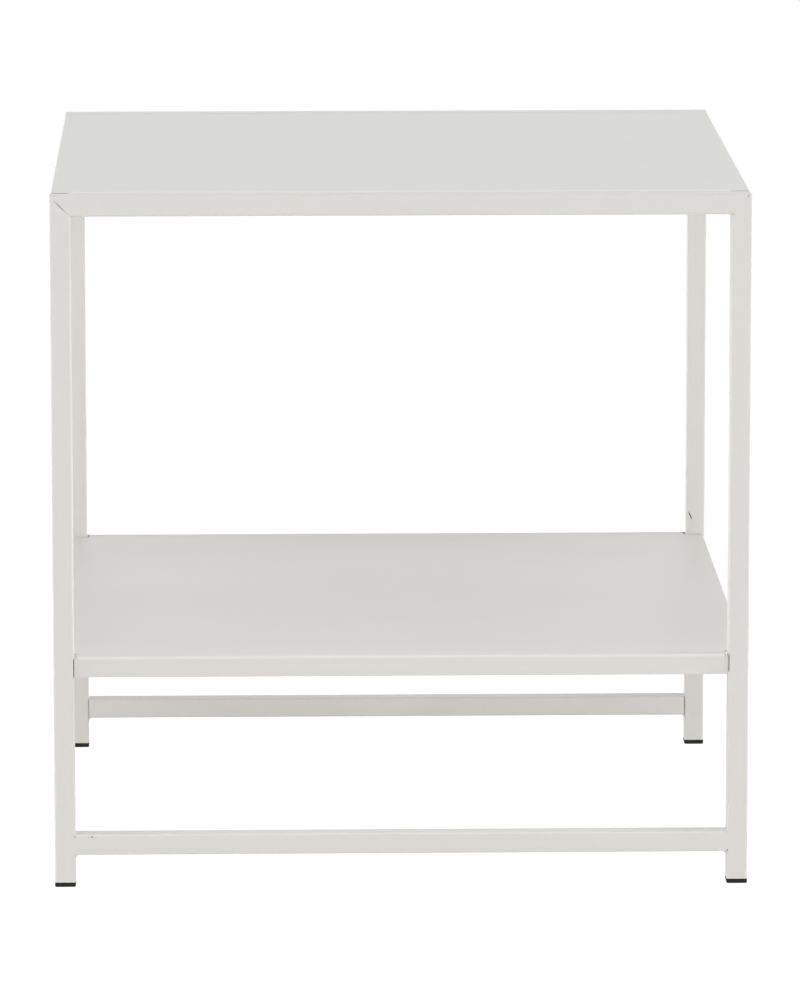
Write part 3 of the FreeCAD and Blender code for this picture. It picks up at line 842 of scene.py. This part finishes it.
pull = calc("MULTIPLY", calc("MULTIPLY", area, -2.0), given["Flattening"])
wires = {0: point, "Scale": calc("SUBTRACT", 1.0, pull)}
flat = node(weld_tree, "ShaderNodeVectorMath", wires, operation="SCALE")
section = moved(weld_tree, section.outputs[0], flat.outputs[0])
factor = node(weld_tree, "GeometryNodeSplineParameter").outputs["Factor"]
phase = calc("MULTIPLY", factor, given["Ripples"])
phase = calc("MULTIPLY", phase, math.pi)
dip = calc("ABSOLUTE", calc("COSINE", phase))
dip = calc("MULTIPLY", dip, given["Ripple Depth"])
from_end = calc("MINIMUM", factor, calc("SUBTRACT", 1.0, factor))
taper = calc("MULTIPLY_ADD", from_end, END_STEEPNESS, SMALLEST_SECTION)
taper = calc("MINIMUM", taper, 1.0)
swell = calc("MULTIPLY", taper, calc("SUBTRACT", 1.0, dip))
wires = {"Curve": path.outputs[0], "Profile Curve": section, "Scale": swell, "Fill Caps": True}
bead = node(weld_tree, "GeometryNodeCurveToMesh", wires).outputs[0]
beads = copies(weld_tree, given["Geometry"], bead)
weld_tree.links.new(shaded(weld_tree, beads, given["Finish"]), result[0])
print(f"weld_bead: {len(weld_tree.nodes)} nodes")

# %% [markdown]
# Four beads hold each stretcher, over and under both its ends. The corner lines come from
# the stretcher's box, and half turns bring the one pattern into all four corners. The upper
# beads are ground down smaller, so that nothing catches on them.

# %% Beads on the rear frame
HALF_TURN = math.pi
UPPER_BEAD, LOWER_BEAD = (0.22, 1, 0.22), (1, 1, 1)


def frame_welds(node_name, stretcher):
    """The four beads of a frame, grown from the boxes of its welds and its stretcher."""
    low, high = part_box(stretcher)
    weld_low, weld_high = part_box(node_name)
    middle = (low.y + high.y) / 2
    places = (
        ((low.x, middle, high.z), (0, 0, 0), UPPER_BEAD),
        ((low.x, middle, low.z), (HALF_TURN, 0, 0), LOWER_BEAD),
        ((high.x, middle, high.z), (0, 0, HALF_TURN), UPPER_BEAD),
        ((high.x, middle, low.z), (0, HALF_TURN, 0), LOWER_BEAD),
    )
    values = {
        "Leg": weld_high.z - high.z,
        "Length": weld_high.y - weld_low.y,
        "Finish": coat_of(node_name),
    }
    piece = grow(f"{node_name}_beads", weld_tree, values, seeds(node_name, places))
    outward(piece.data)
    return piece


dress(frame_welds("rear_frame_welds", "rear_stretcher"), "powder_coat", "rear_frame_welds")

# %% [markdown]
# A tube that butts against a rounded corner leaves a groove. In front, where it shows, the
# welder fills it and grinds it flush. The fill is a prism in the space between a quarter
# round and its square, and its upper and lower ends sink back as the stretcher's own long
# edges do, which leaves a little notch over each.

# %% Fill the front grooves
FILL_STEPS = 8
FILL_RISES = (0.5, 0.8, 1.0)
FILL_OVERLAP = 0.03 * MM


def fill_sections(low, high):
    """Heights up the stretcher, and how far the fill sinks back at each."""
    radius = TUBE_CORNER
    rises = [share * radius for share in FILL_RISES]
    sinks = [radius - math.sqrt(radius**2 - (radius - rise) ** 2) for rise in rises]
    lower = [(low + rise, sink) for rise, sink in zip(rises, sinks)]
    upper = [(high - rise, sink) for rise, sink in zip(rises, sinks)]
    return lower + upper[::-1]


def fill_groove(work, joint_x, into_leg, front_y, low, high):
    """A flush prism beside the line where a stretcher meets a leg's round corner."""
    radius = TUBE_CORNER
    arc = [QUARTER_TURN * step / FILL_STEPS for step in range(FILL_STEPS + 1)]
    reach = radius - FILL_OVERLAP
    outline = [(0.0, 0.0)] + [
        (radius - reach * math.sin(turn), radius - reach * math.cos(turn)) for turn in arc
    ]
    rings = []
    for height, sink in fill_sections(low, high):
        ring = [
            work.verts.new((joint_x + into_leg * u, front_y + max(v, sink), height))
            for u, v in outline
        ]
        rings.append(ring)
    for lower, upper in zip(rings, rings[1:]):
        for first in range(len(outline)):
            second = (first + 1) % len(outline)
            work.faces.new((lower[first], lower[second], upper[second], upper[first]))
    work.faces.new(rings[0])
    work.faces.new(rings[-1])


piece = frame_welds("front_frame_welds", "front_stretcher")
low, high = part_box("front_stretcher")
with edited(piece.data) as work:
    fill_groove(work, low.x, LEFT, low.y, low.z, high.z)
    fill_groove(work, high.x, RIGHT, low.y, low.z, high.z)
outward(piece.data)
piece.data.shade_smooth()
piece.data.set_sharp_from_angle(angle=SHARP_ANGLE)
keep_flats(piece)
dress(piece, "powder_coat", "front_frame_welds")

# %% [markdown]
# ## Folded sheet and moulded feet
# The folds, notches and screw holes of the top and the shelf are already right in the
# measured model. What it lacks is the softness of real edges: cut sheet is deburred, and
# the coat flows round each edge and rounds it by a tenth of a millimetre. The same holds for
# the moulded feet. So a copy of the measured mesh is stitched together, its flat areas are
# cleaned, and a narrow Bevel with hardened normals catches the light along every edge.

# %% Soften a measured piece
SHEET_EDGE = 0.1 * MM
FOOT_EDGE = 0.12 * MM
EDGE_SEGMENTS = 2
CAP_TOP = 2.5 * MM
LEVEL_TOLERANCE = 0.3 * MM
FLAT_ANGLE = math.radians(0.5)


def softened(name, node_name, width, finish, slot, level=0.0, raised=0.0):
    """A stitched copy of a measured piece with rounded edges and perhaps one level moved."""
    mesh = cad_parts[node_name].data.copy()
    mesh.name = name
    with edited(mesh) as work:
        for vertex in work.verts:
            if abs(vertex.co.z - level) < LEVEL_TOLERANCE:
                vertex.co.z += raised - level
        bmesh.ops.remove_doubles(work, verts=work.verts, dist=MERGE_DISTANCE)
        flat = {"angle_limit": FLAT_ANGLE, "verts": work.verts, "edges": work.edges}
        bmesh.ops.dissolve_limit(work, **flat)
        bmesh.ops.recalc_face_normals(work, faces=work.faces)
    for leftover in ("custom_normal", "sharp_face", "sharp_edge"):
        if leftover in mesh.attributes:
            mesh.attributes.remove(mesh.attributes[leftover])
    mesh.materials.clear()
    mesh.materials.append(finish)
    mesh.shade_smooth()
    mesh.set_sharp_from_angle(angle=SHARP_ANGLE)
    piece = placed(name, mesh)
    bevel = piece.modifiers.new("soft_edges", "BEVEL")
    bevel.width = width
    bevel.segments = EDGE_SEGMENTS
    bevel.limit_method = "ANGLE"
    bevel.angle_limit = SHARP_ANGLE
    bevel.use_clamp_overlap = False
    bevel.harden_normals = True
    keep_flats(piece)
    dress(piece, slot, node_name)


softened("top_panel_sheet", "top_panel", SHEET_EDGE, top_coat, "powder_coat")
softened("shelf_panel_sheet", "shelf_panel", SHEET_EDGE, shelf_coat, "powder_coat")
for depth_word in ("front", "rear"):
    for side_word in ("left", "right"):
        foot = f"{depth_word}_{side_word}_foot"
        softened(f"{foot}_cap", foot, FOOT_EDGE, plastic, "foot_plastic", CAP_TOP, FOOT_SHOWS)

# %% [markdown]
# The shelf's returns stand off the legs by the thickness of a rivet nut's flange. A thin
# coated strip hides each of these four slits: it lies on the return's cut edge and reaches
# across to the leg. The rear strips reach higher and close the notches behind the shelf too.

# %% Strips between the shelf and the legs
STRIP_CLEAR = 0.03 * MM
STRIP_WIDTH = {FRONT: 1.5 * MM, REAR: 2.8 * MM}
STRIP_THICKNESS = 0.3 * MM
STRIP_EDGE = 0.08 * MM
STRIP_BELOW_TOP = {FRONT: 1.7 * MM, REAR: 0.15 * MM}
STRIP_ABOVE_BOTTOM = 0.3 * MM
BOX_FACES = ((0, 1, 2, 3), (4, 5, 6, 7), (0, 1, 5, 4), (1, 2, 6, 5), (2, 3, 7, 6), (3, 0, 4, 7))

leg_inner = -leg_high.x
outer = leg_inner - STRIP_CLEAR
tip = shelf_high.y + STRIP_THICKNESS
mesh = bpy.data.meshes.new("shelf_strips")
with edited(mesh) as work:
    for side in SIDES:
        for depth_side in SIDES:
            inner = leg_inner - STRIP_WIDTH[depth_side]
            section = ((outer, tip), (outer, shelf_high.y), (inner, shelf_high.y), (inner, tip))
            bottom = shelf_low.z + STRIP_ABOVE_BOTTOM
            top = shelf_high.z - STRIP_BELOW_TOP[depth_side]
            points = [
                work.verts.new((side * x, depth_side * y, z))
                for z in (bottom, top)
                for x, y in section
            ]
            for face in BOX_FACES:
                work.faces.new([points[index] for index in face])
    bmesh.ops.bevel(
        work,
        geom=work.edges[:],
        offset=STRIP_EDGE,
        segments=EDGE_SEGMENTS,
        affect="EDGES",
        profile=0.5,
    )
mesh.materials.append(coat_of("shelf_strips"))
mesh.shade_smooth()
outward(mesh)
dress(placed("shelf_strips", mesh), "powder_coat")

# %% [markdown]
# ## Screws and rivet nuts
# Eight button-head screws hold the two panels, four each. The head is a flattened dome with
# a hexagon socket, and the shank carries a real thread: a cylinder whose radius rises and
# falls with the height and the angle together, which winds the ridge round it. The rivet
# nuts behind the lips keep their measured shape and only get the zinc.

# %% Geometry tree: button-head screw
HEAD_HEIGHT = 2.2 * MM
HEAD_STEPS = 32
SOCKET_SIDES = 6
THREAD_ROUND = 24
THREAD_LONG = 96

screw_tree, given, result = new_group(
    "button_screw",
    "GeometryNodeTree",
    takes=(
        ("Geometry", "Geometry", None),
        ("Head Radius", "Float", 3.8 * MM),
        ("Head Height", "Float", HEAD_HEIGHT),
        ("Socket Across", "Float", 2.5 * MM),
        ("Socket Depth", "Float", 1.3 * MM),
        ("Shank Radius", "Float", 2.0 * MM),
        ("Shank Length", "Float", 12 * MM),
        ("Pitch", "Float", 0.7 * MM),
        ("Thread Depth", "Float", 0.3 * MM),
        ("Finish", "Material", None),
    ),
    gives=(("Geometry", "Geometry", None),),
)

calc = partial(maths, screw_tree)
wires = {"Segments": HEAD_STEPS, "Rings": HEAD_STEPS // 2, "Radius": given["Head Radius"]}
ball = node(screw_tree, "GeometryNodeMeshUVSphere", wires)
xyz = split_xyz(screw_tree, node(screw_tree, "GeometryNodeInputPosition").outputs[0])
squash = calc("DIVIDE", given["Head Height"], given["Head Radius"])
above = calc("MULTIPLY", calc("MAXIMUM", xyz["Z"], 0.0), squash)
dome = moved(screw_tree, ball.outputs[0], join_xyz(screw_tree, X=xyz["X"], Y=xyz["Y"], Z=above))
hexagon = node(
    screw_tree,
    "GeometryNodeMeshCylinder",
    {
        "Vertices": SOCKET_SIDES,
        "Radius": calc("DIVIDE", given["Socket Across"], math.sqrt(3)),
        "Depth": calc("MULTIPLY", given["Socket Depth"], 2.0),
    },
)
head_top = join_xyz(screw_tree, Z=given["Head Height"])
wires = {"Geometry": hexagon.outputs[0], "Translation": head_top}
hexagon = node(screw_tree, "GeometryNodeTransform", wires)
wires = {"Mesh 1": dome, "Mesh 2": hexagon.outputs[0]}
head = node(screw_tree, "GeometryNodeMeshBoolean", wires, operation="DIFFERENCE")
shank = node(
    screw_tree,
    "GeometryNodeMeshCylinder",
    {
        "Vertices": THREAD_ROUND,
        "Side Segments": THREAD_LONG,
        "Radius": given["Shank Radius"],
        "Depth": given["Shank Length"],
    },
)
angle = calc("ARCTAN2", xyz["Y"], xyz["X"])
angle = calc("DIVIDE", angle, 2 * math.pi)
turns = calc("ADD", calc("DIVIDE", xyz["Z"], given["Pitch"]), angle)
ridge = calc("MULTIPLY", calc("PINGPONG", turns, 0.5), 2.0)
depth = calc("MULTIPLY", ridge, given["Thread Depth"])
narrower = calc("DIVIDE", depth, given["Shank Radius"])
narrower = calc("SUBTRACT", 1.0, narrower)
half_shank = calc("MULTIPLY", given["Shank Length"], 0.5)
wound = join_xyz(
    screw_tree,
    X=calc("MULTIPLY", xyz["X"], narrower),
    Y=calc("MULTIPLY", xyz["Y"], narrower),
    Z=calc("SUBTRACT", xyz["Z"], half_shank),
)
shank = moved(screw_tree, shank.outputs[0], wound)
whole = joined(screw_tree, head.outputs[0], shank)
screws = copies(screw_tree, given["Geometry"], whole)
screw_tree.links.new(shaded(screw_tree, screws, given["Finish"]), result[0])
print(f"button_screw: {len(screw_tree.nodes)} nodes")

# %% [markdown]
# A node with four screws has one in each quarter of the table. The box of a quarter's points
# gives the screw's axis, and its head is at the end that faces the table's middle.

# %% The screws in their places
AS_MADE = (1, 1, 1)


def quarter_boxes(node_name):
    """The lowest and highest corners of the solid in each quarter of the table."""
    points = [vertex.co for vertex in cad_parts[node_name].data.vertices]
    for side in SIDES:
        for depth_side in SIDES:
            own = [p for p in points if p.x * side > 0 and p.y * depth_side > 0]
            low = Vector(min(p[axis] for p in own) for axis in range(3))
            high = Vector(max(p[axis] for p in own) for axis in range(3))
            yield low, high


def screws_of(node_name, axis):
    """Screws along X (axis 0) or Y (axis 1), their heads towards the middle."""
    places = []
    for low, high in quarter_boxes(node_name):
        seat = (low + high) / 2
        outer = 1 if seat[axis] > 0 else -1
        inner_end = low[axis] if outer > 0 else high[axis]
        seat[axis] = inner_end + outer * HEAD_HEIGHT
        heading = Vector((0, 0, 0))
        heading[axis] = -outer
        turn = UP.rotation_difference(heading).to_euler()
        places.append((seat, turn, AS_MADE))
    piece = grow(f"{node_name}_turned", screw_tree, {"Finish": zinc}, seeds(node_name, places))
    outward(piece.data)
    dress(piece, "zinc_steel", node_name)


screws_of("top_screws", 1)
screws_of("shelf_screws", 0)
for node_name in ("top_rivet_nuts", "shelf_rivet_nuts"):
    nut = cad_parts[node_name]
    nut.data.materials.clear()
    nut.data.materials.append(zinc)

# %% [markdown]
# ## Studio floor and light
# A catalogue studio stands the object on a white sweep and surrounds it with large soft
# lamps. The floor is a plain pale surface to the light. Only what the camera sees of it is
# lifted to white, and a share of its true shading stays mixed in, so that the table keeps a
# faint shadow. From below the floor is clear, so that a look from underneath finds the
# table. The world adds a little light from everywhere, which fills the insides of the folds.

# %% World and floor
WORLD_LIGHT = 0.24
FLOOR_SIZE = 7.0
FLOOR_TONE = (0.9, 0.87, 0.862, 1.0)
FLOOR_GLOW = 0.945
FLOOR_SHADE_SHARE = 0.16
WHITE = (1.0, 1.0, 1.0, 1.0)


def seen_directly(tree):
    """1 for rays from the camera and for mirror reflections, else 0."""
    path = node(tree, "ShaderNodeLightPath").outputs
    return maths(tree, "MAXIMUM", path["Is Camera Ray"], path["Is Glossy Ray"])


def either(tree, share, first, second):
    """The first shader where the share is 0, and the second where it is 1."""
    return node(tree, "ShaderNodeMixShader", {0: share, 1: first, 2: second}).outputs[0]


world = bpy.data.worlds.new("studio")
bpy.context.scene.world = world
tree = empty_tree(world)
even = node(tree, "ShaderNodeBackground", {"Color": WHITE, "Strength": WORLD_LIGHT})
white = node(tree, "ShaderNodeBackground", {"Color": WHITE, "Strength": 1.0})
blend = either(tree, seen_directly(tree), even.outputs[0], white.outputs[0])
node(tree, "ShaderNodeOutputWorld", {"Surface": blend})

floor_paint = bpy.data.materials.new("studio_floor")
tree = empty_tree(floor_paint)
matt = node(tree, "ShaderNodeBsdfDiffuse", {"Color": FLOOR_TONE})
faint = node(tree, "ShaderNodeBsdfDiffuse", {"Color": (FLOOR_SHADE_SHARE,) * 3 + (1.0,)})
glow = node(tree, "ShaderNodeEmission", {"Strength": FLOOR_GLOW})
lifted = node(tree, "ShaderNodeAddShader", {0: faint.outputs[0], 1: glow.outputs[0]})
seen = either(tree, seen_directly(tree), matt.outputs[0], lifted.outputs[0])
from_below = node(tree, "ShaderNodeNewGeometry").outputs["Backfacing"]
clear = node(tree, "ShaderNodeBsdfTransparent")
one_sided = either(tree, from_below, seen, clear.outputs[0])
node(tree, "ShaderNodeOutputMaterial", {"Surface": one_sided})

half = FLOOR_SIZE / 2
corners = [(-half, -half, 0), (half, -half, 0), (half, half, 0), (-half, half, 0)]
sweep = bpy.data.meshes.new("studio_floor")
sweep.from_pydata(corners, [], [(0, 1, 2, 3)])
sweep.materials.append(floor_paint)
floor = placed("studio_floor", sweep)
print(f"floor {FLOOR_SIZE:.0f} m, world light {WORLD_LIGHT}")

# %% [markdown]
# Soft light that looks plain comes from all round. The lowest pair stands in front and
# lights the legs and the folded edges. A low and a slanted lamp on each side reach under
# the top, which keeps the shelf bright at its ends and a little darker in its middle. A
# pair behind lights the rear frame, and a weak lamp in front fills the shelf. Two high
# lamps light the top, and a small one nearly overhead draws the bright strip along the
# front of the shelf. The lower lamps are a shade warm and the high ones a shade cool, as
# daylight mixed with room light is. Each row below gives a name, the degrees round the table
# from its front, the degrees up, the lamp's size in metres, its watts and its tint.

# %% Soft lamps all round
LAMP_DISTANCE = 4.0
AIM_HEIGHT = 0.25
LOWEST, LOW, SLANTED, MIDDLE, HIGH, OVERHEAD = 5, 10, 25, 35, 60, 83
WIDE, MEDIUM, SMALL = 2.0, 1.2, 0.6
WARM, COOL = (1.0, 0.98, 0.97), (0.952, 1.0, 0.992)
LAMPS = (
    ("front_left", -18, LOWEST, MEDIUM, 23.4, WARM),
    ("front_right", 18, LOWEST, MEDIUM, 23.8, WARM),
    ("side_left", -90, LOW, WIDE, 58, WARM),
    ("side_right", 90, LOW, WIDE, 58, WARM),
    ("slanted_left", -90, SLANTED, WIDE, 21, WARM),
    ("slanted_right", 90, SLANTED, WIDE, 29, WARM),
    ("rear_left", -135, LOW, WIDE, 37, WARM),
    ("rear_right", 135, LOW, WIDE, 35, WARM),
    ("front_middle", 0, MIDDLE, WIDE, 5, WARM),
    ("high_left", -55, HIGH, WIDE, 14, COOL),
    ("high_right", 55, HIGH, WIDE, 13.5, COOL),
    ("overhead", 0, OVERHEAD, SMALL, 15, COOL),
)
for name, degrees_round, degrees_up, size, watts, tint in LAMPS:
    light = bpy.data.lights.new(name, "AREA")
    light.size = size
    light.energy = watts
    light.color = tint
    lamp = placed(name, light)
    turn = Euler((math.radians(90 - degrees_up), 0, math.radians(degrees_round)))
    away = turn.to_matrix() @ Vector((0, 0, LAMP_DISTANCE))
    lamp.location = away + Vector((0, 0, AIM_HEIGHT))
    lamp.rotation_euler = turn
print(f"{len(LAMPS)} lamps, {sum(lamp[4] for lamp in LAMPS):.0f} W in all")

# %% [markdown]
# ## Look settings
# The Standard view shows each colour as it was written.

# %% Finish
bpy.context.scene.view_settings.view_transform = "Standard"
